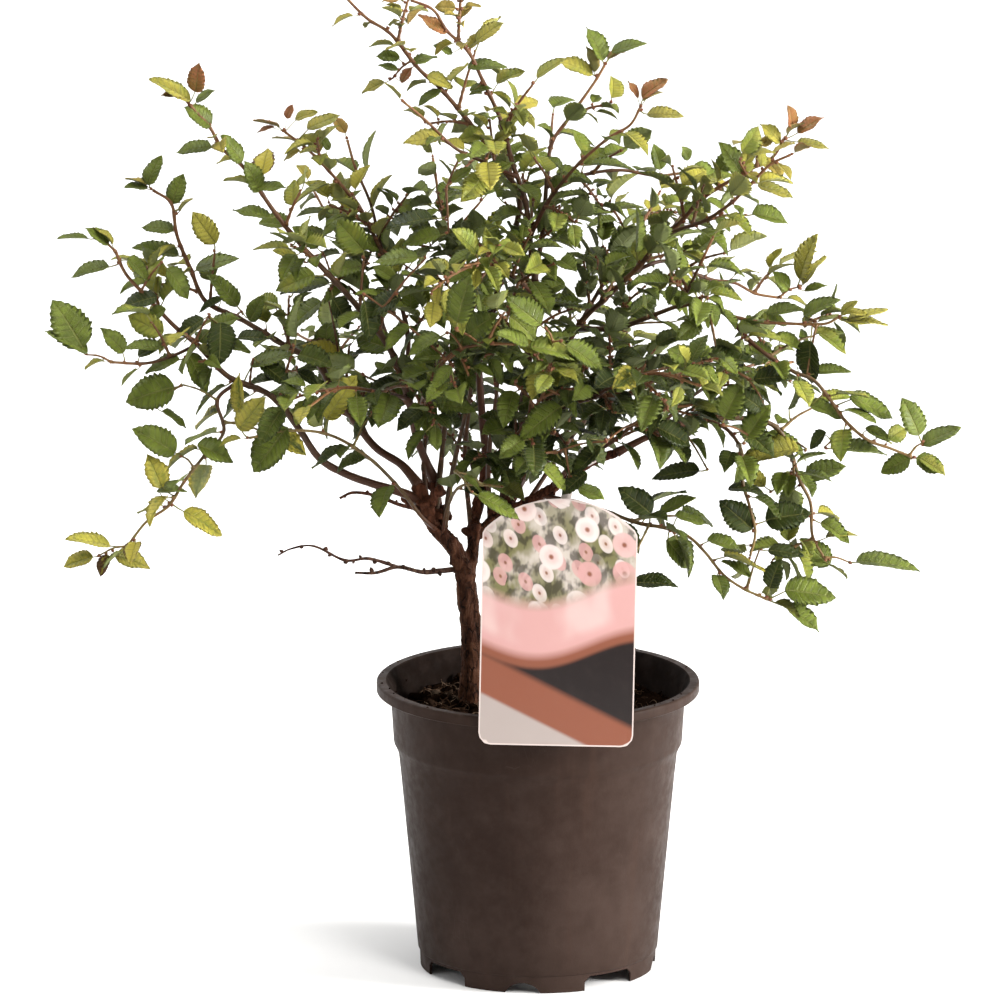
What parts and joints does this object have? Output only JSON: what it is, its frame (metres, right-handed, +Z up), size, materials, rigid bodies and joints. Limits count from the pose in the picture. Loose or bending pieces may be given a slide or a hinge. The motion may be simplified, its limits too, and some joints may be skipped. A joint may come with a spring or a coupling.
{
  "type": "potted dwarf cherry bonsai in leaf",
  "caption": "Young dwarf cherry tree in full leaf, grown as bonsai stock, in a round plastic nursery pot on short feet, with a plant card on a strap.",
  "frame": {"origin": "middle of the pot's underside, on the surface that the pot stands on", "axes": "+Z up along the pot's axis; +X to the right and +Y away from the viewer, who faces the side with the plant card"},
  "size_m": [0.5043, 0.2871, 0.5922],
  "materials": {
    "taupe_plastic": "matte dark taupe moulded plastic",
    "potting_soil": "damp dark peat with bark bits",
    "cherry_bark": "rough brown bark",
    "cherry_leaf": "satin green leaf",
    "card_plastic": "glossy printed card"
  },
  "bodies": {
    "root": {"pot": "taupe_plastic", "soil": "potting_soil", "trunk": "cherry_bark", "plant_card": "card_plastic", "limb_left_low": "cherry_leaf", "limb_left_high": "cherry_leaf", "shoot_far_left": "cherry_leaf", "trail_left": "cherry_leaf", "twig_green_left": "cherry_leaf", "rise_left": "cherry_leaf", "shoot_left_mid": "cherry_leaf", "shoot_left_back": "cherry_leaf", "peak_left": "cherry_leaf", "peak_middle": "cherry_leaf", "shoot_middle_left": "cherry_leaf", "peak_right": "cherry_leaf", "shoot_right_front": "cherry_leaf", "shoot_right_level": "cherry_leaf", "rise_right": "cherry_leaf", "shoot_right_tip": "cherry_leaf", "limb_right_high": "cherry_leaf", "shoot_right_inner": "cherry_leaf", "shoot_right_back": "cherry_leaf", "limb_right_middle": "cherry_leaf", "limb_right_front": "cherry_leaf", "trail_far_right": "cherry_leaf", "limb_right_low": "cherry_leaf", "trail_right_inner": "cherry_leaf", "trail_right_low": "cherry_leaf", "twig_front_low": "cherry_leaf", "twig_front_left": "cherry_leaf", "twig_front_middle": "cherry_leaf", "bush_front_far_left": "cherry_leaf", "bush_front_right": "cherry_leaf", "bush_front_high": "cherry_leaf", "bush_back_far_left": "cherry_leaf", "bush_back_left_high": "cherry_leaf", "bush_back_low": "cherry_leaf", "bush_back_high": "cherry_leaf", "bush_back_right_low": "cherry_leaf", "bush_back_right_high": "cherry_leaf", "bush_back_far_right": "cherry_leaf"}
  },
  "joints": []
}
